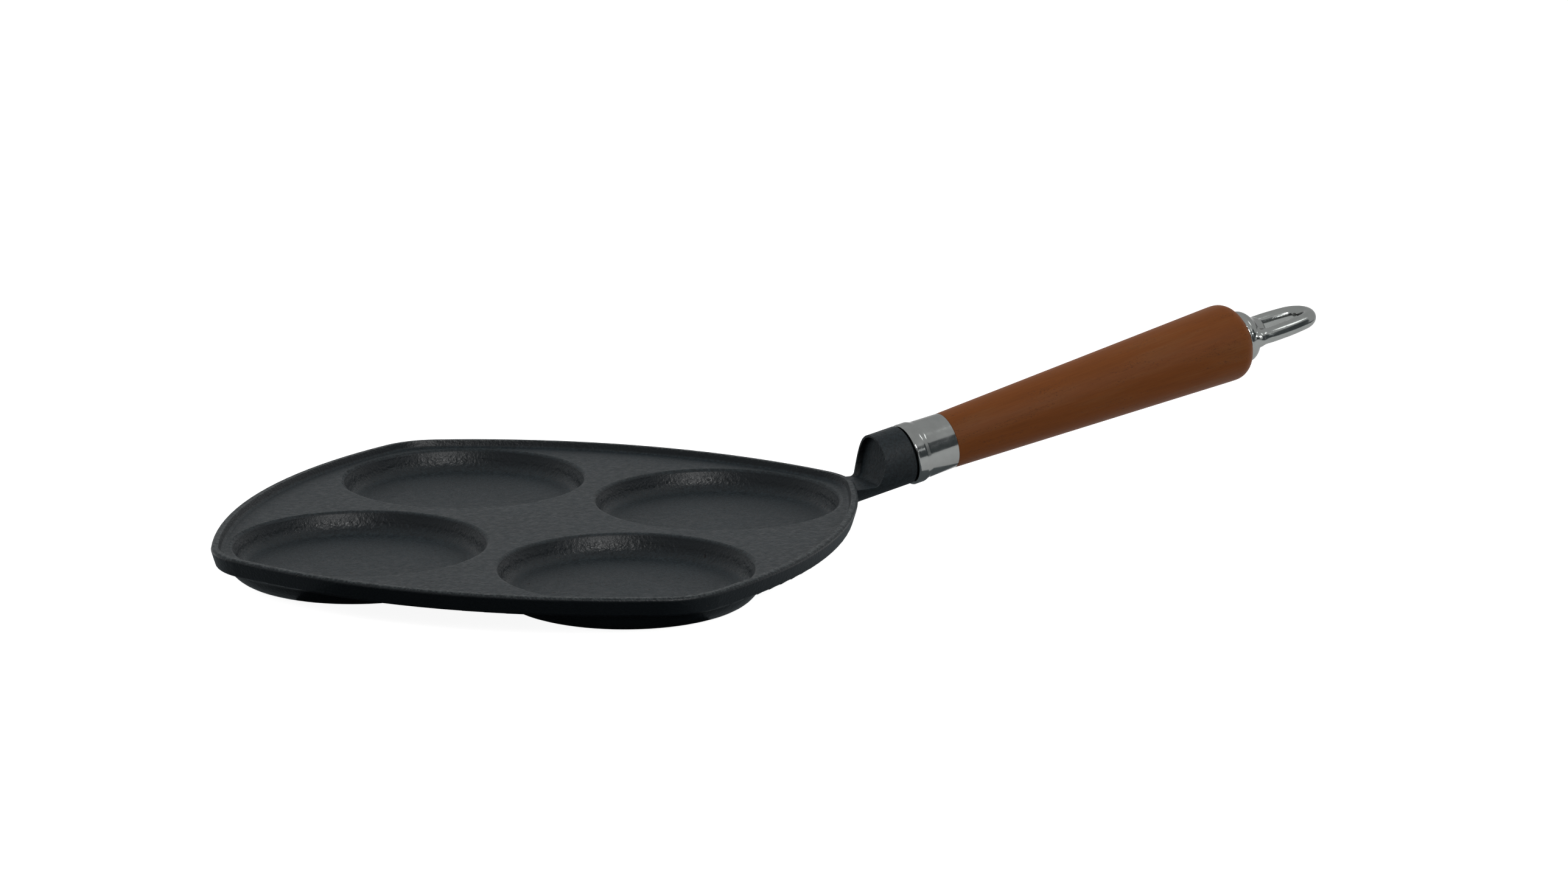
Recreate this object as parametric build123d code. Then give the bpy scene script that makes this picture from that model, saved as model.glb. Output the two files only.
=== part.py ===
from build123d import *
import os
from math import atan2, cos, radians, sin, sqrt, tan

# Cast iron egg pan.
# A rounded square plate holds four shallow round wells and is stiffened by a raised rim.
# A lug cast onto one corner carries a turned wooden grip. A steel ferrule covers the grip's front
# tenon, and a threaded rod through the grip ties it to the lug. A hanging eye closes the far end.
# Lengths are in millimetres and angles in degrees.
# The origin is on the table under the middle of the plate. +X runs towards the handle and +Z is up.

# Wells
well_mouth_radius = 47.0
well_depth = 8.0
well_draft = 23.0
well_floor_fillet = 6.0
well_lip_fillet = 1.6
well_web = 10.0
floor_thickness = 4.0
bowl_root_fillet = 2.5

# Plate and rim
plate_thickness = 4.35
corner_land = 9.5
side_land = 15.75
corner_radius = 28.9
wall_draft = 16.5
wall_foot_fillet = 1.2
rim_height = 2.7
rim_width = 3.0
rim_inner_draft = 20.0
rim_foot_fillet = 1.2
rim_crown_fillet = 1.1

# Lug that carries the handle, cast in one with the plate
handle_rise = 11.75
lug_reach = 25.0
lug_height = 8.27
lug_radius = 11.7
lug_offset = 0.45
lug_edge_fillet = 0.7
neck_height = -0.5
neck_fillet = 2.4
neck_foot_clearance = 1.0
neck_overlap = 3.0
scoop_radius = 30.0
scoop_reach = 14.3
scoop_height = 11.8
recess_depth = 2.0
recess_border = 0.9
spigot_length = 4.6
thread_depth = 12.0

# Ferrule
ferrule_length = 18.5
ferrule_bore_radius = 10.3
ferrule_wall = 0.9
ferrule_taper = 0.35
mouth_gap = 0.6
bead_height = 0.65
bead_width = 4.2
bead_shoulder = 2.0
bead_fillet = 0.7

# Grip
grip_length = 138.4
grip_flare_radius = 4.55
grip_crown_length = 9.0
grip_crown_fillet = 60.0
grip_end_fillet = 7.0
grip_front_fillet = 0.3

# Rod and hanging eye
rod_radius = 3.0
rod_chamfer = 0.6
rod_thread_gap = 0.05
rod_bore_gap = 0.5
rod_end_gap = 0.6
tenon_gap = 0.05
spigot_gap = 0.3
flange_radius = 10.5
flange_edge = 1.6
flange_fillet = 1.4
flange_height = 7.6
neck_radius = 6.3
neck_length = 2.6
neck_dome = 3.2
eye_thread_depth = 8.0
eye_wire_radius = 3.2
eye_half_width = 8.9
eye_root_half_width = 7.2
eye_root = 3.0
eye_belly = 12.6
eye_reach = 33.1
eye_tip_radius = 7.5

# Heights and places that follow from the sizes above
plate_top = floor_thickness + well_depth
plate_underside = plate_top - plate_thickness
rim_top = plate_top + rim_height
well_offset = (2 * well_mouth_radius + well_web) / sqrt(2)
corner_reach = well_offset + well_mouth_radius + corner_land
side_reach = well_offset / sqrt(2) + well_mouth_radius + side_land
joint_x = corner_reach + lug_reach
joint_z = plate_top + lug_height
lug_shoulder = -mouth_gap
spigot_end = spigot_length + lug_shoulder
grip_front = ferrule_length
grip_end = grip_front + grip_length
ferrule_end_radius = ferrule_bore_radius + ferrule_wall
cutter_size = corner_reach

# Handle frame: its origin is the ferrule's mouth, its Z runs along the handle, its X points up.
handle_frame = Plane(
    origin=(joint_x, 0, joint_z),
    x_dir=(-sin(radians(handle_rise)), 0, cos(radians(handle_rise))),
    z_dir=(cos(radians(handle_rise)), 0, sin(radians(handle_rise))),
)


def plate_outline(inset: float, height: float) -> Sketch:
    """Rounded square with bulging sides and its corners on the axes, drawn in by an inset."""
    corner_centre = corner_reach - corner_radius
    gap = corner_centre**2 - sqrt(2) * corner_centre * side_reach + side_reach**2 - corner_radius**2
    side_radius = gap / (2 * side_reach - 2 * corner_radius - sqrt(2) * corner_centre)
    side_setback = (side_radius - side_reach) / sqrt(2)
    tangent_angle = atan2(side_setback, corner_centre + side_setback)
    corner_arc = corner_radius - inset
    tangent_point = Vector(corner_centre + corner_arc * cos(tangent_angle), corner_arc * sin(tangent_angle))
    mirrored_point = Vector(tangent_point.X, -tangent_point.Y)
    corner = ThreePointArc(mirrored_point, (corner_reach - inset, 0), tangent_point)
    side_middle = Vector(side_reach - inset, 0).rotate(Axis.Z, 45)
    side = ThreePointArc(tangent_point, side_middle, mirrored_point.rotate(Axis.Z, 90))
    quarters = [Rot(Z=90 * turn) * edge for turn in range(4) for edge in (corner, side)]
    return Pos(Z=height) * make_face(Wire(quarters).edges())


def turned(points: list, fillets: dict) -> Part:
    """Solid turned about Z from (radius, height) corners, with some corners rounded."""
    profile = make_face(Polyline(*points, close=True))
    for index, radius in fillets.items():
        spot = Vector(*points[index])
        corner = profile.vertices().sort_by(lambda vertex: (Vector(vertex) - spot).length)[0]
        profile = fillet(corner, radius)
    return revolve(Plane.XZ * profile, axis=Axis.Z)


def round_bar(radius: float, low: float, high: float) -> Part:
    """Cylinder about Z between two heights."""
    return Pos(Z=low) * Cylinder(radius, high - low, align=(Align.CENTER, Align.CENTER, Align.MIN))


def well_radius(height: float) -> float:
    """Radius of a well's drafted wall at a height above the table."""
    return well_mouth_radius - (plate_top - height) * tan(radians(well_draft))


def at_wells(piece: Part) -> list:
    """Four copies of a piece, one on the axis of each well."""
    return [Rot(Z=90 * turn) * Pos(X=well_offset) * piece for turn in range(4)]


def drafted_plate() -> Part:
    """Plate up to the top of its rim, with the outer wall leaning in towards the table."""
    wall_height = rim_top - plate_underside
    block = extrude(plate_outline(0, rim_top), amount=wall_height, dir=(0, 0, -1), taper=wall_draft)
    crown_edges = block.edges().group_by(Axis.Z)[-1]
    block = fillet(crown_edges, rim_crown_fillet)
    foot_edges = block.edges().group_by(Axis.Z)[0]
    return fillet(foot_edges, wall_foot_fillet)


def rim_pocket() -> Part:
    """Space inside the rim, down to the top of the plate, with a rounded foot."""
    mouth = plate_outline(rim_width, rim_top)
    pocket = extrude(mouth, amount=rim_height, dir=(0, 0, -1), taper=rim_inner_draft)
    return fillet(pocket.edges().group_by(Axis.Z)[0], rim_foot_fillet)


def bowl() -> Part:
    """Outside of one well: a shallow bowl under the plate that ends in a flat foot."""
    wall = floor_thickness / cos(radians(well_draft))
    points = [
        (0, 0),
        (well_radius(0) + wall, 0),
        (well_radius(plate_top) + wall, plate_top),
        (0, plate_top),
    ]
    return turned(points, {1: well_floor_fillet + floor_thickness})


def well_space() -> Part:
    """Hollow of one well, from its floor to the top of the rim."""
    points = [
        (0, floor_thickness),
        (well_radius(floor_thickness), floor_thickness),
        (well_radius(plate_top), plate_top),
        (well_radius(plate_top), rim_top),
        (0, rim_top),
    ]
    return turned(points, {1: well_floor_fillet})


def is_round_at(edge: Edge, height: float) -> bool:
    """Whether an edge is a whole circle lying at a height above the table."""
    box = edge.bounding_box()
    level = box.max.Z - box.min.Z < 0.001 and abs(box.min.Z - height) < 0.001
    return level and edge.is_closed


def scoop(extra: float) -> Part:
    """Space cleared in front of the lug and above the neck, round at its back."""
    neck_top = plate_top + neck_height
    centre_x = joint_x - scoop_reach - scoop_radius
    centre_z = plate_top + scoop_height
    hollow = Pos(centre_x, centre_z) * Circle(scoop_radius + extra)
    front = Pos(centre_x, neck_top) * Rectangle(cutter_size, cutter_size, align=(Align.MAX, Align.MIN))
    below = Pos(centre_x, neck_top) * Rectangle(cutter_size, cutter_size, align=(Align.CENTER, Align.MAX))
    outline = hollow + front - below
    back_corner = outline.vertices().group_by(Axis.Y)[0].sort_by(Axis.X)[-1]
    return extrude(Plane.XZ * fillet(back_corner, neck_fillet), amount=cutter_size, both=True)


def lug() -> Part:
    """Round lug on the corner of the plate, scooped in front, with a spigot for the ferrule."""
    neck_start = (well_offset + well_radius(0) - neck_overlap - joint_x) / cos(radians(handle_rise))
    shaft = round_bar(lug_radius, neck_start, lug_shoulder)
    shaft = fillet(shaft.edges().group_by(Axis.Z)[-1], lug_edge_fillet)
    recess_core = round_bar(lug_radius - recess_border, neck_start, lug_shoulder)
    lug_location = handle_frame.location * Pos(X=lug_offset)
    recess = scoop(recess_depth).intersect(lug_location * recess_core)
    spigot = round_bar(ferrule_bore_radius - spigot_gap, lug_shoulder, spigot_end)
    under_neck = Pos(joint_x, 0, neck_foot_clearance) * Box(
        cutter_size, cutter_size, cutter_size, align=(Align.CENTER, Align.CENTER, Align.MAX)
    )
    return lug_location * shaft - scoop(0) - recess - under_neck + handle_frame.location * spigot


def pan_casting() -> Part:
    """Plate, rim, wells and lug, all one casting."""
    body = drafted_plate() + at_wells(bowl())
    roots = [edge for edge in body.edges() if is_round_at(edge, plate_underside)]
    body = fillet(roots, bowl_root_fillet) + lug()
    body = body - rim_pocket() - at_wells(well_space())
    lips = [edge for edge in body.edges() if is_round_at(edge, plate_top)]
    body = fillet(lips, well_lip_fillet)
    thread = round_bar(rod_radius + rod_thread_gap, spigot_end - thread_depth, spigot_end)
    return body - handle_frame.location * thread


def ferrule() -> Part:
    """Thin sleeve over the grip's tenon, with a rolled bead at its mouth."""
    bead_radius = ferrule_end_radius + ferrule_taper + bead_height
    points = [
        (ferrule_bore_radius, 0),
        (bead_radius, 0),
        (bead_radius, bead_width),
        (ferrule_end_radius + ferrule_taper, bead_width + bead_shoulder),
        (ferrule_end_radius, ferrule_length),
        (ferrule_bore_radius, ferrule_length),
    ]
    sleeve = turned(points, {1: bead_fillet, 2: bead_shoulder, 3: bead_shoulder})
    return handle_frame.location * sleeve


def grip() -> Part:
    """Turned wooden grip that swells towards its rounded end, bored right through."""
    butt_radius = ferrule_end_radius + grip_flare_radius
    tenon_radius = ferrule_bore_radius - tenon_gap
    bore_radius = rod_radius + rod_bore_gap
    points = [
        (bore_radius, spigot_end),
        (tenon_radius, spigot_end),
        (tenon_radius, grip_front),
        (ferrule_end_radius, grip_front),
        (butt_radius, grip_end - grip_crown_length),
        (butt_radius, grip_end),
        (bore_radius, grip_end),
    ]
    wood = turned(points, {3: grip_front_fillet, 4: grip_crown_fillet, 5: grip_end_fillet})
    return handle_frame.location * wood


def tie_rod() -> Part:
    """Threaded rod from the lug, through the grip, into the hanging eye."""
    rod_start = spigot_end - thread_depth + rod_end_gap
    rod_finish = grip_end + eye_thread_depth - rod_end_gap
    rod = round_bar(rod_radius, rod_start, rod_finish)
    rod = chamfer(rod.edges().filter_by(GeomType.CIRCLE), rod_chamfer)
    return handle_frame.location * rod


def loop_side(side: int, tangent_point: Vector) -> list:
    """Centre line of one side of the loop: an arc from its belly to its root and one to its tip."""
    belly = (side * eye_half_width, eye_belly)
    root = (side * eye_root_half_width, eye_root)
    tip = (side * tangent_point.X, tangent_point.Y)
    return [TangentArc(belly, root, tangent=(0, -1)), TangentArc(belly, tip, tangent=(0, 1))]


def eye_loop() -> Part:
    """Oval loop of round wire, lying flat along the handle and open towards its own neck."""
    reach = eye_reach - eye_belly
    inner_span = (reach - eye_tip_radius) ** 2 + eye_half_width**2 - eye_tip_radius**2
    side_radius = inner_span / (2 * (eye_half_width - eye_tip_radius))
    side_centre = Vector(eye_half_width - side_radius, eye_belly)
    tip_centre = Vector(0, eye_reach - eye_tip_radius)
    tangent_point = tip_centre + (tip_centre - side_centre).normalized() * eye_tip_radius
    tip = ThreePointArc(tangent_point, (0, eye_reach), (-tangent_point.X, tangent_point.Y))
    route = Plane.YZ * Wire([*loop_side(1, tangent_point), tip, *loop_side(-1, tangent_point)])
    section = Plane(origin=route @ 0, z_dir=route % 0) * Circle(eye_wire_radius)
    return sweep(section, path=route)


def hanging_eye() -> Part:
    """Eye nut: a domed flange against the grip's end, a short neck and an oval loop."""
    points = [
        (0, 0),
        (flange_radius, 0),
        (flange_radius, flange_edge),
        (neck_radius, flange_height),
        (neck_radius, flange_height + neck_length),
        (0, flange_height + neck_length + neck_dome),
    ]
    stem = turned(points, {2: flange_fillet, 3: flange_fillet, 4: neck_dome})
    thread = round_bar(rod_radius + rod_thread_gap, 0, eye_thread_depth)
    eye = stem + eye_loop() - thread
    return handle_frame.location * Pos(Z=grip_end) * eye


os.makedirs("parts", exist_ok=True)
for piece in (pan_casting, ferrule, grip, tie_rod, hanging_eye):
    export_step(piece(), f"parts/{piece.__name__}.step")
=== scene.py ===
"""Cast iron egg pan: finishes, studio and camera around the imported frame.

The casting, ferrule, grip and rod are the frame's own solids, dressed here in their finishes. The
hanging eye is rebuilt from its solid, with a domed flange and a soft run from its loop into its
neck. A pale studio with dark cards and the photo's camera stand round them. Lengths are in metres.
"""

import logging
import math
from dataclasses import dataclass, field
from enum import Enum

import bmesh
import bpy
from mathutils import Matrix, Vector

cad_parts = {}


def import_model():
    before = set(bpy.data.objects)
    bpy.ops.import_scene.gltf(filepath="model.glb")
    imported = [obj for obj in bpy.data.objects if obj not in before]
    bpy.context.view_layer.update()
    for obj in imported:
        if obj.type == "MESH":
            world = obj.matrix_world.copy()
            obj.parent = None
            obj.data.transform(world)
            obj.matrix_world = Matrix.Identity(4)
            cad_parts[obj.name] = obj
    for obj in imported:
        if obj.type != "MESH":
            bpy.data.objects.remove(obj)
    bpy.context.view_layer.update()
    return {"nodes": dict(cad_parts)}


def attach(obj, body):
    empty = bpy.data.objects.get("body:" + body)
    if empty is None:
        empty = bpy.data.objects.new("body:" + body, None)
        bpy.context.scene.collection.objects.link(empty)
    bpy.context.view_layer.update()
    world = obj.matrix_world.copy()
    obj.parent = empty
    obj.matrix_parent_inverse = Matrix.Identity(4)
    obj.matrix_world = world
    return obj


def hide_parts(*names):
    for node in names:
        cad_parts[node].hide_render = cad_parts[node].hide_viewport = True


log = logging.getLogger("egg_pan")

Pair = tuple[float, float]
Colour = tuple[float, float, float, float]
Socket = bpy.types.NodeSocket
Sockets = bpy.types.NodeOutputs

MM = 0.001
EIGHTH_TURN = math.radians(45.0)
QUARTER_TURN = math.radians(90.0)

# The handle's axis: its slope, the point where the ferrule meets the lug, and its direction.
HANDLE_RISE = math.radians(11.75)
HANDLE_START = Vector((155.04 * MM, 0.0, 20.27 * MM))
HANDLE_WAY = Vector((math.cos(HANDLE_RISE), 0.0, math.sin(HANDLE_RISE)))


class Ray(Enum):
    """Kinds of ray that see the white studio in place of its light."""

    CAMERA = "Is Camera Ray"
    GLOSSY = "Is Glossy Ray"
    TRANSMISSION = "Is Transmission Ray"


class LampKind(Enum):
    """What a lamp is for."""

    SOFT = "lights every surface softly and isn't mirrored"
    SPARKLE = "is seen only as a highlight"


class Turn(Enum):
    """How a card is turned about the vertical."""

    PLATE = "its sides run with the plate's sides"
    AHEAD = "its sides run along and across the camera's view"
    ASIDE = "turned on from there, to face the camera's right"


@dataclass(frozen=True)
class Noise:
    """A noise texture: waves per metre, octaves and the strength of the finer octaves."""

    scale: float
    detail: float
    roughness: float


@dataclass(frozen=True)
class Shade:
    """A grey ramp: two values of a texture and the grey that each gives."""

    start: float
    finish: float
    low: float
    high: float


@dataclass(frozen=True)
class Card:
    """A dark card that only glossy rays see.

    Its place is measured from the pan's middle: across to the camera's right, forward to the
    camera, and up.
    """

    name: str
    size: Pair
    across: float
    forward: float
    height: float
    turn: Turn
    glow: float
    upright: bool = False


@dataclass(frozen=True)
class Lamp:
    """A rectangular lamp that points at the pan, with its power in watts."""

    name: str
    place: tuple[float, float, float]
    size: Pair
    power: float
    kind: LampKind


def grey(level: float) -> Colour:
    """An opaque grey."""
    return (level, level, level, 1.0)


def places(base: float, steps: Pair) -> Pair:
    """Two places, each a step from a base."""
    return (base + steps[0], base + steps[1])


class NodeTree:
    """Small wrapper that adds and joins shader nodes."""

    def __init__(self, tree: bpy.types.NodeTree) -> None:
        """Start from an empty tree.

        Args:
            tree: The node tree to fill.
        """
        self.tree = tree
        tree.nodes.clear()

    def add(self, kind: str, settings: dict | None = None, **inputs: object) -> bpy.types.Node:
        """Add a node, set its properties and sockets, and join sockets given as outputs.

        Args:
            kind: The node's type, such as ShaderNodeTexNoise.
            settings: Properties of the node itself.
            inputs: Socket names, with underscores for spaces, or i and a socket's number, and
                their values or sources.

        Returns:
            The new node.
        """
        node = self.tree.nodes.new(kind)
        for name, value in (settings or {}).items():
            setattr(node, name, value)
        for name, value in inputs.items():
            key = int(name[1:]) if name[1:].isdigit() else name.replace("_", " ")
            socket = node.inputs[key]
            if isinstance(value, Socket):
                self.tree.links.new(value, socket)
            else:
                socket.default_value = value
        return node

    def math(self, operation: str, *values: object) -> Socket:
        """Add a Math node.

        Args:
            operation: The Math node's operation.
            values: Numbers or sockets, in order.

        Returns:
            The node's output socket.
        """
        inputs = {f"i{index}": value for index, value in enumerate(values)}
        return self.add("ShaderNodeMath", {"operation": operation}, **inputs).outputs[0]

    def product(self, first: object, *others: object) -> Socket:
        """Multiply numbers or sockets.

        Args:
            first: The first of them.
            others: The rest, at least one.

        Returns:
            Their product.
        """
        for other in others:
            first = self.math("MULTIPLY", first, other)
        return first

    def noise(self, place: Socket, noise: Noise) -> Socket:
        """Add a noise texture.

        Args:
            place: Where to read the texture.
            noise: The texture.

        Returns:
            The texture's grey value.
        """
        return self.add("ShaderNodeTexNoise", Vector=place, Scale=noise.scale,
                        Detail=noise.detail, Roughness=noise.roughness).outputs["Fac"]

    def ramp(self, factor: Socket, *stops: tuple[float, Colour]) -> Socket:
        """Add a colour ramp.

        Args:
            factor: The value that picks the colour.
            stops: Pairs of place and colour, from low to high.

        Returns:
            The ramp's colour output.
        """
        node = self.add("ShaderNodeValToRGB", Fac=factor)
        elements = node.color_ramp.elements
        while len(elements) < len(stops):
            elements.new(1.0)
        for element, (place, colour) in zip(elements, stops):
            element.position = place
            element.color = colour
        return node.outputs["Color"]

    def shade(self, factor: Socket, shade: Shade) -> Socket:
        """Add a grey ramp.

        Args:
            factor: The value that picks the grey.
            shade: The ramp.

        Returns:
            The ramp's grey.
        """
        return self.ramp(factor, (shade.start, grey(shade.low)), (shade.finish, grey(shade.high)))

    def mix(self, factor: object, low: object, high: object, blend: str = "MIX") -> Socket:
        """Mix two colours.

        Args:
            factor: Share of the second colour, a number or a socket.
            low: The first colour.
            high: The second colour.
            blend: How the colours are mixed.

        Returns:
            The mixed colour.
        """
        settings = {"data_type": "RGBA", "blend_type": blend}
        return self.add("ShaderNodeMix", settings, i0=factor, i6=low, i7=high).outputs[2]

    def shaded(self, colour: object, factor: Socket, shade: Shade) -> Socket:
        """Multiply a colour by a grey ramp.

        Args:
            colour: The colour.
            factor: The value that picks the grey.
            shade: The ramp.

        Returns:
            The shaded colour.
        """
        return self.mix(1.0, colour, self.shade(factor, shade), "MULTIPLY")

    def fade(self, value: Socket, start: float, finish: float) -> Socket:
        """Rise softly from 0 to 1 as a value goes from a start to a finish, which may be lower.

        Args:
            value: The value to follow.
            start: Where the result is 0.
            finish: Where the result is 1.

        Returns:
            The result, from 0 to 1.
        """
        first, last = (0.0, 1.0) if start < finish else (1.0, 0.0)
        node = self.add("ShaderNodeMapRange", {"interpolation_type": "SMOOTHSTEP"}, Value=value,
                        From_Min=min(start, finish), From_Max=max(start, finish),
                        To_Min=first, To_Max=last)
        return node.outputs["Result"]

    def band(self, value: Socket, rise: Pair, fall: Pair) -> Socket:
        """Mask of the values between two fades.

        Args:
            value: The value to follow.
            rise: Where the lower fade is 0 and where it is 1.
            fall: Where the upper fade is 0 and where it is 1.

        Returns:
            The mask.
        """
        return self.product(self.fade(value, *rise), self.fade(value, *fall))

    def bump(self, height: Socket, distance: float, normal: Socket | None = None,
             sink: bool = False) -> Socket:
        """Turn a height into a bumped normal.

        Args:
            height: Height, from 0 to 1.
            distance: What a height of 1 stands for.
            normal: A normal to build on.
            sink: Whether a height of 1 is a hollow.

        Returns:
            The bumped normal.
        """
        inputs = {"Height": height, "Distance": distance, "Strength": 1.0}
        if normal is not None:
            inputs["Normal"] = normal
        return self.add("ShaderNodeBump", {"invert": sink}, **inputs).outputs["Normal"]

    def place(self) -> Socket:
        """Coordinates of the point in its piece."""
        return self.add("ShaderNodeTexCoord").outputs["Object"]

    def handle_place(self, scale: tuple[float, float, float]) -> Socket:
        """Coordinates from the handle's start, with X along the handle.

        Args:
            scale: What each coordinate is multiplied by. Under 1 draws a texture out.

        Returns:
            The coordinates.
        """
        shift = self.add("ShaderNodeMapping", Vector=self.place(), Location=tuple(-HANDLE_START))
        turn = self.add("ShaderNodeMapping", Vector=shift.outputs[0],
                        Rotation=(0.0, HANDLE_RISE, 0.0))
        return self.add("ShaderNodeMapping", Vector=turn.outputs[0], Scale=scale).outputs[0]

    def surface(self, **settings: object) -> None:
        """Finish the tree with a Principled surface.

        Args:
            settings: Socket names, with underscores for spaces, and their values or sources.
        """
        shader = self.add("ShaderNodeBsdfPrincipled", **settings)
        self.add("ShaderNodeOutputMaterial", Surface=shader.outputs[0])


def blank(name: str) -> tuple[bpy.types.Material, NodeTree]:
    """Start a material.

    Args:
        name: Its name.

    Returns:
        The material and its empty tree.
    """
    material = bpy.data.materials.new(name)
    material.use_nodes = True
    return material, NodeTree(material.node_tree)


@dataclass(frozen=True)
class CastIron:
    """Seasoned, unpainted cast iron with a fine sand-cast grain, rubbed lighter on its edges.

    A pair of numbers says where a mask is 0 and where it is 1. The wells' walls and the surfaces
    that face sideways or down take a darker colour, which is painted shade.
    """

    name: str = "seasoned_iron"
    specular: float = 0.13

    dark: Colour = (0.0060, 0.0095, 0.0120, 1.0)
    light: Colour = (0.0110, 0.0155, 0.0180, 1.0)
    worn: Colour = (0.036, 0.041, 0.042, 1.0)
    # Darker colour painted as shade on the wells' walls and on surfaces facing sideways or down.
    skin_shade_colour: Colour = (0.0042, 0.0062, 0.0078, 1.0)
    hollow: Colour = grey(0.003)

    grain: Noise = Noise(1000.0, 2.0, 0.6)
    grain_shade: Shade = Shade(0.35, 0.65, 0.45, 1.25)
    grain_height: float = 0.18 * MM
    mottle: Noise = Noise(400.0, 3.0, 0.6)
    mottle_mask: Pair = (0.3, 0.7)
    mottle_height: float = 0.12 * MM
    patches: Noise = Noise(45.0, 3.0, 0.5)
    patch_shade: Shade = Shade(0.3, 0.7, 0.8, 1.0)
    pits: Noise = Noise(330.0, 1.0, 0.5)
    pit_mask: Pair = (0.24, 0.20)
    pit_depth: float = 0.18 * MM
    speckle: Noise = Noise(620.0, 1.0, 0.5)
    speckle_height: float = 0.30 * MM

    open_roughness: Shade = Shade(0.34, 0.66, 0.52, 0.66)
    wall_roughness: Shade = Shade(0.35, 0.65, 0.30, 0.52)
    skin_roughness: float = 0.40

    # The casting's own sizes: the wells, the plate, the rim and where the lug begins.
    well_offset: float = 73.54 * MM
    well_radius: float = 47.0 * MM
    plate_top: float = 12.0 * MM
    rim_top: float = 14.7 * MM
    lug_start: float = 126.0 * MM

    # A well's wall: shares of the well's radius, then steps from it.
    wall_foot: Pair = (0.88, 0.92)
    wall_head: Pair = (-0.5 * MM, -1.7 * MM)
    # Share of the darker colour laid on the wells' walls as painted shade.
    wall_shade: float = 0.3

    # The smoother skin of surfaces facing sideways or down, darkened there with painted shade:
    # upward share of their direction, then steps from the lug.
    skin_and_shade_facing: Pair = (0.78, 0.28)
    skin_and_shade_reach: Pair = (6.0 * MM, 0.0)
    lug_skin_and_shade: float = 0.05

    # The rubbed edges: steps from the well's radius, the plate's top, the rim's top and the lug.
    lip_inside: Pair = (-0.9 * MM, 0.0)
    lip_outside: Pair = (2.4 * MM, 1.0 * MM)
    lip_height: Pair = (-1.1 * MM, -0.2 * MM)
    crown_below: Pair = (-0.9 * MM, -0.1 * MM)
    crown_above: Pair = (0.8 * MM, 0.2 * MM)
    crown_reach: Pair = (2.0 * MM, 0.0)
    lip_wear: float = 0.15
    rub_mask: Pair = (0.42, 0.68)
    rub_wear: float = 0.7

    def well_distance(self, tree: NodeTree, axes: Sockets) -> Socket:
        """Distance from the axis of the nearest well, folded over the plate's equal quarters.

        Args:
            tree: The tree to add to.
            axes: The three coordinates of the point.

        Returns:
            The distance.
        """
        across, along = (tree.math("ABSOLUTE", axes[index]) for index in (0, 1))
        far = tree.math("SUBTRACT", tree.math("MAXIMUM", across, along), self.well_offset)
        near = tree.math("MINIMUM", across, along)
        square = tree.math("ADD", tree.math("POWER", far, 2.0), tree.math("POWER", near, 2.0))
        return tree.math("SQRT", square)

    def facing_up(self, tree: NodeTree) -> Socket:
        """Upward share of the surface's direction, below 0 on the underside."""
        normal = tree.add("ShaderNodeTexCoord").outputs["Normal"]
        return tree.add("ShaderNodeSeparateXYZ", Vector=normal).outputs[2]

    def wall(self, tree: NodeTree, distance: Socket) -> Socket:
        """Mask of the wells' walls.

        Args:
            tree: The tree to add to.
            distance: Distance from the nearest well's axis.

        Returns:
            The mask.
        """
        foot, knee = (share * self.well_radius for share in self.wall_foot)
        return tree.band(distance, (foot, knee), places(self.well_radius, self.wall_head))

    def skin_and_shade(self, tree: NodeTree, axes: Sockets) -> Socket:
        """Mask of surfaces facing sideways or down, which get the smoother skin and painted shade,
        all but left out on the lug.

        Args:
            tree: The tree to add to.
            axes: The three coordinates of the point.

        Returns:
            The mask.
        """
        plate = tree.fade(axes[0], *places(self.lug_start, self.skin_and_shade_reach))
        share = tree.math("MULTIPLY_ADD", plate, 1.0 - self.lug_skin_and_shade, self.lug_skin_and_shade)
        return tree.product(tree.fade(self.facing_up(tree), *self.skin_and_shade_facing), share)

    def edge_wear(self, tree: NodeTree, distance: Socket, axes: Sockets, rub: Socket) -> Socket:
        """Mask of the rubbed edges: the lips of the wells and the crown of the rim.

        Args:
            tree: The tree to add to.
            distance: Distance from the nearest well's axis.
            axes: The three coordinates of the point.
            rub: A noise that breaks the wear up.

        Returns:
            The mask.
        """
        reach, _, height = axes[:3]
        lip = tree.product(
            tree.band(distance, places(self.well_radius, self.lip_inside),
                      places(self.well_radius, self.lip_outside)),
            tree.fade(height, *places(self.plate_top, self.lip_height)))
        crown = tree.product(
            tree.band(height, places(self.rim_top, self.crown_below),
                      places(self.rim_top, self.crown_above)),
            tree.fade(reach, *places(self.lug_start, self.crown_reach)))
        edge = tree.math("MAXIMUM", tree.product(lip, self.lip_wear), crown)
        return tree.product(edge, tree.product(tree.fade(rub, *self.rub_mask), self.rub_wear))

    def material(self) -> bpy.types.Material:
        """Build the material.

        Returns:
            The finished material.
        """
        material, tree = blank(self.name)
        place = tree.place()
        axes = tree.add("ShaderNodeSeparateXYZ", Vector=place).outputs
        grain = tree.noise(place, self.grain)
        mottle = tree.noise(place, self.mottle)
        pit = tree.fade(tree.noise(place, self.pits), *self.pit_mask)
        distance = self.well_distance(tree, axes)
        wall = self.wall(tree, distance)
        skin_and_shade = self.skin_and_shade(tree, axes)

        colour = tree.mix(tree.fade(mottle, *self.mottle_mask), self.dark, self.light)
        colour = tree.shaded(colour, grain, self.grain_shade)
        colour = tree.shaded(colour, tree.noise(place, self.patches), self.patch_shade)
        # Painted shade: the wells' walls take part of the darker colour.
        colour = tree.mix(tree.product(wall, self.wall_shade), colour, self.skin_shade_colour)
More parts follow.
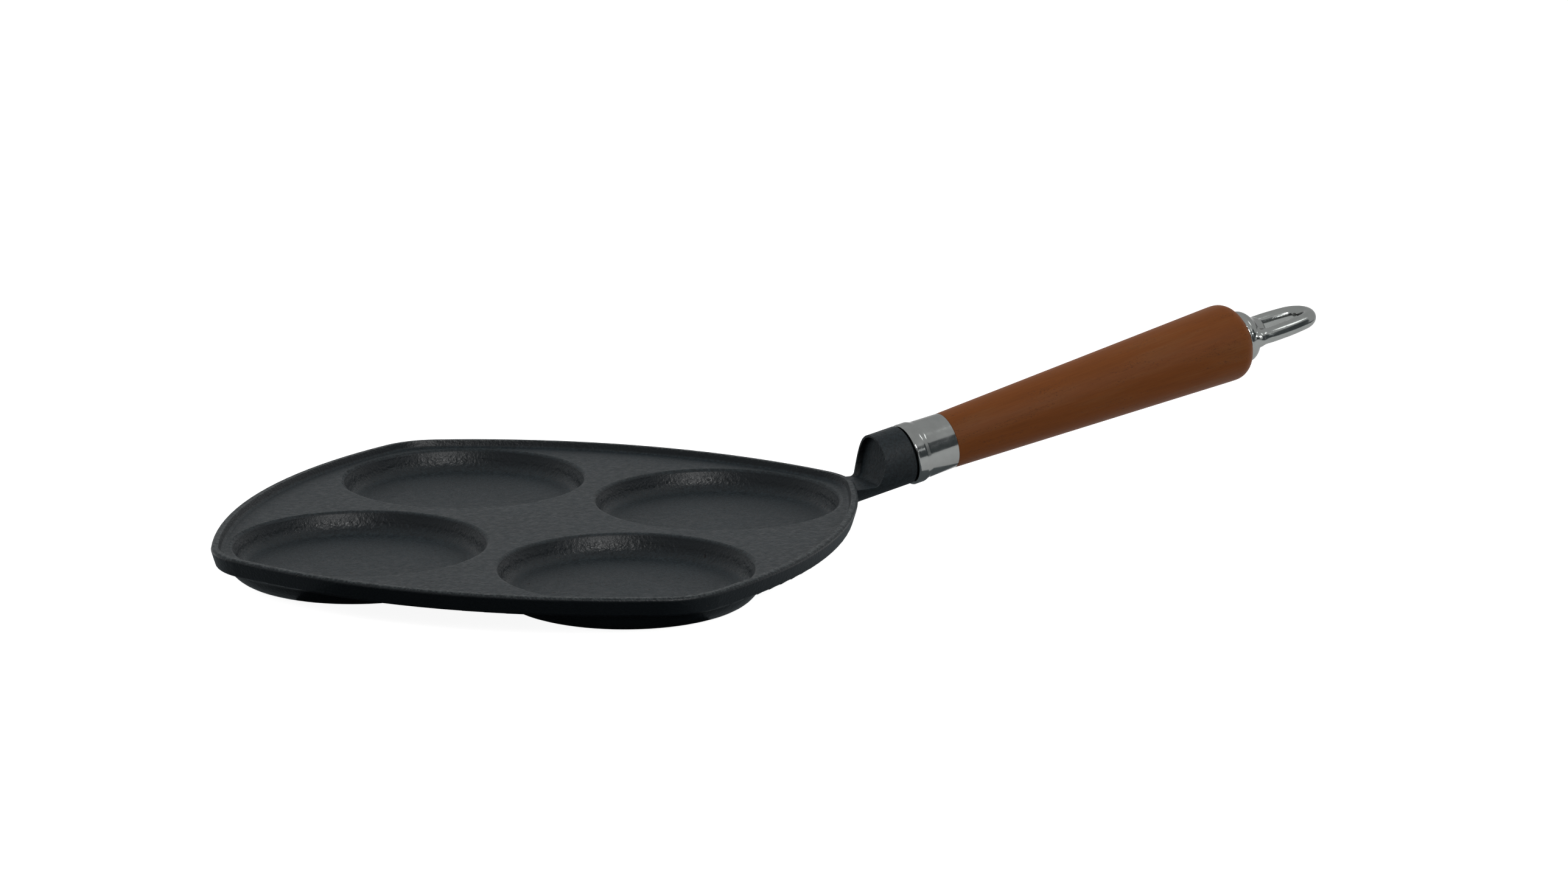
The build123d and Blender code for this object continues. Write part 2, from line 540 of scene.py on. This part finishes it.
        # Painted shade: surfaces facing sideways or down take the darker colour.
        colour = tree.mix(skin_and_shade, colour, self.skin_shade_colour)
        colour = tree.mix(self.edge_wear(tree, distance, axes, grain), colour, self.worn)
        colour = tree.mix(pit, colour, self.hollow)

        roughness = tree.shade(mottle, self.open_roughness)
        roughness = tree.mix(skin_and_shade, roughness, grey(self.skin_roughness))
        roughness = tree.mix(wall, roughness, tree.shade(grain, self.wall_roughness))

        speckle = tree.product(tree.noise(place, self.speckle), wall)
        normal = tree.bump(pit, self.pit_depth, sink=True)
        normal = tree.bump(mottle, self.mottle_height, normal)
        normal = tree.bump(grain, self.grain_height, normal)
        normal = tree.bump(speckle, self.speckle_height, normal)
        tree.surface(Base_Color=colour, Roughness=roughness, Normal=normal,
                     Specular_IOR_Level=self.specular)
        return material


@dataclass(frozen=True)
class Wood:
    """Oiled reddish-brown wood with its grain along the handle.

    A pair of numbers says where a mask is 0 and where it is 1, and a draw draws a texture out
    along the handle.
    """

    name: str = "oiled_wood"
    specular: float = 0.06
    roughness: float = 0.55

    deep: Colour = (0.126, 0.038, 0.0085, 1.0)
    warm: Colour = (0.135, 0.041, 0.0094, 1.0)
    pale: Colour = (0.143, 0.054, 0.018, 1.0)
    pore: Colour = (0.030, 0.014, 0.008, 1.0)

    figure: Noise = Noise(150.0, 4.0, 0.6)
    figure_stops: tuple[float, float, float] = (0.34, 0.50, 0.74)
    fibre: Noise = Noise(1600.0, 3.0, 0.6)
    fibre_shade: Shade = Shade(0.35, 0.65, 0.88, 1.0)
    fibre_height: float = 0.02 * MM
    specks: Noise = Noise(3100.0, 1.0, 0.5)
    speck_mask: Pair = (0.60, 0.70)
    clusters: Noise = Noise(320.0, 2.0, 0.5)
    cluster_mask: Pair = (0.46, 0.62)
    pore_share: float = 0.5
    pore_depth: float = 0.05 * MM

    figure_draw: float = 0.10
    fibre_draw: float = 0.03
    speck_draw: float = 0.34

    def material(self) -> bpy.types.Material:
        """Build the material.

        Returns:
            The finished material.
        """
        material, tree = blank(self.name)
        bands = tree.handle_place((self.figure_draw, 1.0, 1.0))
        fibre = tree.noise(tree.handle_place((self.fibre_draw, 1.0, 1.0)), self.fibre)
        specks = tree.noise(tree.handle_place((self.speck_draw, 1.0, 1.0)), self.specks)
        clusters = tree.noise(bands, self.clusters)
        pores = tree.product(tree.fade(specks, *self.speck_mask),
                             tree.fade(clusters, *self.cluster_mask))
        stops = zip(self.figure_stops, (self.deep, self.warm, self.pale))
        colour = tree.ramp(tree.noise(bands, self.figure), *stops)
        colour = tree.shaded(colour, fibre, self.fibre_shade)
        colour = tree.mix(tree.product(pores, self.pore_share), colour, self.pore)
        normal = tree.bump(fibre, self.fibre_height)
        normal = tree.bump(pores, self.pore_depth, normal, sink=True)
        tree.surface(Base_Color=colour, Roughness=self.roughness, Normal=normal,
                     Specular_IOR_Level=self.specular)
        return material


@dataclass(frozen=True)
class Metal:
    """Plated or polished metal with faint polishing lines round the handle and a soft haze."""

    name: str
    colour: Colour
    roughness: float
    haze: float
    edge_tint: float = 0.65

    line_noise: Noise = Noise(2600.0, 2.0, 0.5)
    line_draw: float = 0.06
    line_height: float = 0.0015 * MM
    haze_noise: Noise = Noise(260.0, 3.0, 0.55)
    haze_span: Pair = (0.3, 0.7)
    haze_greys: Pair = (0.90, 1.0)

    def material(self) -> bpy.types.Material:
        """Build the material.

        Returns:
            The finished material.
        """
        material, tree = blank(self.name)
        rings = tree.handle_place((1.0, self.line_draw, self.line_draw))
        haze = tree.noise(tree.place(), self.haze_noise)
        colour = tree.shaded(self.colour, haze, Shade(*self.haze_span, *self.haze_greys))
        hazed = self.roughness + self.haze
        roughness = tree.shade(haze, Shade(*self.haze_span, self.roughness, hazed))
        normal = tree.bump(tree.noise(rings, self.line_noise), self.line_height)
        tree.surface(Base_Color=colour, Metallic=1.0, Roughness=roughness, Normal=normal,
                     Specular_Tint=grey(self.edge_tint))
        return material


def dress(node: bpy.types.Object, material: bpy.types.Material) -> None:
    """Give every face of a piece one finish.

    Args:
        node: The piece.
        material: Its finish.
    """
    node.data.materials.clear()
    node.data.materials.append(material)
    log.info("%s is finished in %s", node.name, material.name)


@dataclass
class Pan:
    """The casting: plate, rim, wells and lug."""

    nodes: dict[str, bpy.types.Object]
    iron: CastIron = CastIron()

    def build(self) -> None:
        """Dress the casting."""
        dress(self.nodes["pan_casting"], self.iron.material())


@dataclass
class HangingEye:
    """The forged eye: the solid's shape, with a domed flange and a loop that runs into its neck.

    The grip's end is measured from the handle's start, the crown and the blend from the grip's
    end, and the flange's inside from the handle's axis.
    """

    source: bpy.types.Object
    name: str = "forged_eye"
    grip_end: float = 156.9 * MM
    seam: float = 0.001 * MM
    voxel: float = 0.35 * MM
    crown_low: float = 1.2 * MM
    crown_high: float = 6.9 * MM
    crown_rise: float = 1.0 * MM
    crown_inside: float = 4.5 * MM
    blend_low: float = 5.2 * MM
    blend_high: float = 17.0 * MM
    smooth_step: float = 0.5
    blend_rounds: int = 60
    edge_rounds: int = 14
    finish_rounds: int = 3

    def merged_copy(self) -> bpy.types.Object:
        """Copy the solid's mesh, joined at its seams.

        Returns:
            The new object.
        """
        shape = bmesh.new()
        shape.from_mesh(self.source.data)
        bmesh.ops.remove_doubles(shape, verts=shape.verts, dist=self.seam)
        mesh = bpy.data.meshes.new(self.name)
        shape.to_mesh(mesh)
        shape.free()
        eye = bpy.data.objects.new(self.name, mesh)
        bpy.context.scene.collection.objects.link(eye)
        return eye

    def remesh(self, eye: bpy.types.Object) -> None:
        """Rebuild the mesh in even faces.

        Args:
            eye: The object to rebuild.
        """
        modifier = eye.modifiers.new("even_faces", "REMESH")
        modifier.mode = "VOXEL"
        modifier.voxel_size = self.voxel
        modifier.use_smooth_shade = True
        graph = bpy.context.evaluated_depsgraph_get()
        mesh = bpy.data.meshes.new_from_object(eye.evaluated_get(graph))
        eye.modifiers.clear()
        old = eye.data
        eye.data = mesh
        bpy.data.meshes.remove(old)
        mesh.name = self.name

    def crown(self, shape: bmesh.types.BMesh) -> None:
        """Round the flange's flank outwards into a low dome.

        Args:
            shape: The eye's mesh.
        """
        for vert in shape.verts:
            offset = vert.co - HANDLE_START
            reach = offset.dot(HANDLE_WAY)
            span = self.crown_high - self.crown_low
            share = (reach - self.grip_end - self.crown_low) / span
            across = offset - HANDLE_WAY * reach
            if 0.0 < share < 1.0 and across.length > self.crown_inside:
                vert.co += across.normalized() * (self.crown_rise * math.sin(math.pi * share))

    def smooth(self, shape: bmesh.types.BMesh, verts: list[bmesh.types.BMVert],
               rounds: int) -> None:
        """Even out a part of the mesh.

        Args:
            shape: The eye's mesh.
            verts: The vertices to move.
            rounds: How many times they move.
        """
        for _ in range(rounds):
            bmesh.ops.smooth_vert(shape, verts=verts, factor=self.smooth_step, use_axis_x=True,
                                  use_axis_y=True, use_axis_z=True)

    def soften(self, eye: bpy.types.Object) -> None:
        """Fill the creases between the loop and the neck, then round the edges there.

        Args:
            eye: The remeshed eye.
        """
        low, high = places(self.grip_end, (self.blend_low, self.blend_high))
        shape = bmesh.new()
        shape.from_mesh(eye.data)
        self.crown(shape)
        zone = [vert for vert in shape.verts
                if low < (vert.co - HANDLE_START).dot(HANDLE_WAY) < high]
        before = [(vert.co.copy(), vert.normal.copy()) for vert in zone]
        self.smooth(shape, zone, self.blend_rounds)
        for vert, (place, normal) in zip(zone, before):
            vert.co = place + normal * max(0.0, (vert.co - place).dot(normal))
        self.smooth(shape, zone, self.edge_rounds)
        self.smooth(shape, shape.verts[:], self.finish_rounds)
        for face in shape.faces:
            face.smooth = True
        shape.to_mesh(eye.data)
        shape.free()

    def build(self, material: bpy.types.Material) -> None:
        """Build and dress the eye.

        Args:
            material: Its finish.
        """
        eye = self.merged_copy()
        self.remesh(eye)
        self.soften(eye)
        dress(eye, material)
        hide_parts("hanging_eye")
        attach(eye, "root")


@dataclass
class Handle:
    """Ferrule, grip, rod and hanging eye."""

    nodes: dict[str, bpy.types.Object]
    wood: Wood = Wood()
    steel: Metal = Metal("polished_steel", (0.200, 0.208, 0.204, 1.0), 0.11, 0.08)
    zinc: Metal = Metal("zinc_plate", (0.45, 0.46, 0.47, 1.0), 0.30, 0.15)
    chrome: Metal = Metal("bright_chrome", (0.210, 0.220, 0.214, 1.0), 0.13, 0.06)

    def build(self) -> None:
        """Dress the handle's pieces and build its eye."""
        dress(self.nodes["grip"], self.wood.material())
        dress(self.nodes["ferrule"], self.steel.material())
        dress(self.nodes["tie_rod"], self.zinc.material())
        HangingEye(self.nodes["hanging_eye"]).build(self.chrome.material())


@dataclass
class Studio:
    """Pale floor, white surroundings, lamps, dark cards and the photo's camera.

    The camera's lens, place and directions were fitted to the rims of the four wells.
    """

    floor_size: float = 12.0
    floor_glow: float = 0.92
    floor_shade: float = 0.42
    room_light: float = 0.30
    white_light: float = 1.0
    card_colour: Colour = (0.85, 0.95, 1.0, 1.0)
    side_turn: float = math.radians(62.0)
    cards: tuple[Card, ...] = (
        # A dim card under the pan, seen only in its gloss, is painted shadow: it stands in for the
        # floor's shadow beneath the pan.
        Card("under_shadow_card", (0.27, 0.27), 0.0, 0.0, 0.20 * MM, Turn.PLATE, 0.28),
        Card("left_flag", (0.36, 0.86), -0.26, 0.47, 0.35 * MM, Turn.AHEAD, 0.26),
        Card("near_flag", (0.150, 0.86), -0.010, 0.47, 0.50 * MM, Turn.AHEAD, 0.015),
        Card("near_curtain", (0.70, 0.42), 0.0, 0.90, 0.21, Turn.AHEAD, 0.05, upright=True),
        Card("side_flag", (1.20, 1.20), 0.966, 0.277, 0.50 * MM, Turn.ASIDE, 0.17),
        Card("side_curtain", (1.20, 1.00), 1.403, 0.519, 0.50, Turn.ASIDE, 0.17, upright=True),
    )
    lamps: tuple[Lamp, ...] = (
        Lamp("overhead_lamp", (0.05, 0.25, 1.6), (1.3, 1.3), 14.0, LampKind.SOFT),
        Lamp("right_fill", (0.85, -1.30, 0.75), (0.8, 0.6), 11.3, LampKind.SOFT),
        Lamp("left_fill", (-1.10, 0.95, 0.55), (0.6, 0.5), 9.0, LampKind.SOFT),
        Lamp("front_lamp", (-0.04, -1.64, 1.16), (0.75, 0.30), 40.0, LampKind.SPARKLE),
        Lamp("side_lamp", (0.92, -0.42, 1.26), (0.30, 0.50), 2.2, LampKind.SPARKLE),
        Lamp("small_lamp", (0.45, -0.93, 0.385), (0.08, 0.08), 0.25, LampKind.SPARKLE),
    )
    sensor_width: float = 36.0
    lens: float = 102.26
    clip_end: float = 24.0
    camera_place: Vector = field(default_factory=lambda: Vector((-0.66605, -1.47702, 0.43459)))
    camera_right: Vector = field(default_factory=lambda: Vector((0.88765, -0.46050, 0.00427)))
    camera_up: Vector = field(default_factory=lambda: Vector((0.10460, 0.21065, 0.97195)))
    camera_back: Vector = field(default_factory=lambda: Vector((-0.44849, -0.86230, 0.23516)))

    def white_mask(self, tree: NodeTree) -> Socket:
        """One where a camera, glossy or transmission ray looks.

        Args:
            tree: The tree to add to.

        Returns:
            The mask.
        """
        path = tree.add("ShaderNodeLightPath")
        mask = path.outputs[Ray.CAMERA.value]
        for ray in (Ray.GLOSSY, Ray.TRANSMISSION):
            mask = tree.math("MAXIMUM", mask, path.outputs[ray.value])
        return mask

    def build_world(self) -> None:
        """Light the scene softly from all round and show white behind it."""
        world = bpy.data.worlds.new("studio")
        bpy.context.scene.world = world
        world.use_nodes = True
        tree = NodeTree(world.node_tree)
        mask = self.white_mask(tree)
        light, white = (tree.add("ShaderNodeBackground", Color=grey(1.0), Strength=strength)
                        for strength in (self.room_light, self.white_light))
        both = tree.add("ShaderNodeMixShader", i0=mask, i1=light.outputs[0], i2=white.outputs[0])
        tree.add("ShaderNodeOutputWorld", Surface=both.outputs[0])

    def flat_piece(self, name: str, size: Pair, material: bpy.types.Material,
                   place: Matrix) -> bpy.types.Object:
        """Lay a flat piece of the studio.

        Args:
            name: Its name.
            size: Its two sides.
            material: Its finish.
            place: Where its middle lies and how it is turned.

        Returns:
            The piece.
        """
        shape = bmesh.new()
        spread = Matrix.Diagonal((size[0] / 2, size[1] / 2, 1.0, 1.0))
        bmesh.ops.create_grid(shape, x_segments=1, y_segments=1, size=1.0, matrix=place @ spread)
        mesh = bpy.data.meshes.new(name)
        shape.to_mesh(mesh)
        shape.free()
        piece = bpy.data.objects.new(name, mesh)
        bpy.context.scene.collection.objects.link(piece)
        piece.data.materials.append(material)
        return piece

    def build_floor(self) -> None:
        """Lay the pale floor, which shows white and keeps the pan's shadow."""
        material, tree = blank("pale_floor")
        matt = tree.add("ShaderNodeBsdfDiffuse", Color=grey(self.floor_shade))
        glow = tree.add("ShaderNodeEmission", Color=grey(1.0),
                        Strength=tree.product(self.white_mask(tree), self.floor_glow))
        both = tree.add("ShaderNodeAddShader", i0=matt.outputs[0], i1=glow.outputs[0])
        tree.add("ShaderNodeOutputMaterial", Surface=both.outputs[0])
        self.flat_piece("floor", (self.floor_size, self.floor_size), material, Matrix.Identity(4))

    def beside_camera(self, card: Card) -> Vector:
        """The place of a card's middle.

        Args:
            card: The card.

        Returns:
            The place.
        """
        towards = Vector((self.camera_back.x, self.camera_back.y, 0.0)).normalized()
        right = Vector((-towards.y, towards.x, 0.0))
        return right * card.across + towards * card.forward + Vector((0.0, 0.0, card.height))

    def facing(self, card: Card) -> Matrix:
        """How a card is turned.

        Args:
            card: The card.

        Returns:
            The turn that a flat card takes.
        """
        ahead = Matrix.Rotation(math.atan2(-self.camera_back.x, self.camera_back.y), 4, "Z")
        turn = {
            Turn.PLATE: Matrix.Rotation(EIGHTH_TURN, 4, "Z"),
            Turn.AHEAD: ahead,
            Turn.ASIDE: Matrix.Rotation(self.side_turn, 4, "Z") @ ahead,
        }[card.turn]
        return turn @ Matrix.Rotation(QUARTER_TURN, 4, "X") if card.upright else turn

    def card_finish(self, card: Card) -> bpy.types.Material:
        """Make a card's plain finish.

        Args:
            card: The card.

        Returns:
            The finish.
        """
        material, tree = blank(card.name)
        light = tree.add("ShaderNodeEmission", Color=self.card_colour, Strength=card.glow)
        tree.add("ShaderNodeOutputMaterial", Surface=light.outputs[0])
        return material

    def build_card(self, card: Card) -> None:
        """Set a card where the gloss of the pan's near side and its metal shows it.

        Args:
            card: The card.
        """
        place = Matrix.Translation(self.beside_camera(card)) @ self.facing(card)
        piece = self.flat_piece(card.name, card.size, self.card_finish(card), place)
        piece.visible_camera = False
        piece.visible_diffuse = False
        piece.visible_transmission = False
        piece.visible_shadow = False

    def build_lamp(self, plan: Lamp) -> None:
        """Hang a lamp that points at the pan.

        Args:
            plan: The lamp.
        """
        data = bpy.data.lights.new(plan.name, "AREA")
        data.shape = "RECTANGLE"
        data.size, data.size_y = plan.size
        data.energy = plan.power
        lamp = bpy.data.objects.new(plan.name, data)
        lamp.location = plan.place
        lamp.rotation_euler = (-Vector(plan.place)).to_track_quat("-Z", "Y").to_euler()
        lamp.visible_camera = False
        lamp.visible_glossy = plan.kind is LampKind.SPARKLE
        lamp.visible_diffuse = plan.kind is LampKind.SOFT
        bpy.context.scene.collection.objects.link(lamp)

    def build_camera(self) -> None:
        """Stand the camera where the photo was taken."""
        data = bpy.data.cameras.new("camera")
        data.sensor_width = self.sensor_width
        data.lens = self.lens
        data.clip_end = self.clip_end
        camera = bpy.data.objects.new("camera", data)
        turn = Matrix((self.camera_right, self.camera_up, self.camera_back)).transposed().to_4x4()
        camera.matrix_world = Matrix.Translation(self.camera_place) @ turn
        bpy.context.scene.collection.objects.link(camera)
        bpy.context.scene.camera = camera

    def build(self) -> None:
        """Build the studio."""
        self.build_world()
        self.build_floor()
        for card in self.cards:
            self.build_card(card)
        for lamp in self.lamps:
            self.build_lamp(lamp)
        self.build_camera()
        bpy.context.scene.view_settings.view_transform = "Standard"
        log.info("studio and camera are ready")


def main() -> None:
    """Build the pan's looks around the frame and report each piece."""
    logging.basicConfig(level=logging.INFO, format="%(message)s")
    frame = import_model()
    Pan(frame["nodes"]).build()
    Handle(frame["nodes"]).build()
    Studio().build()


if __name__ == "__main__":
    main()
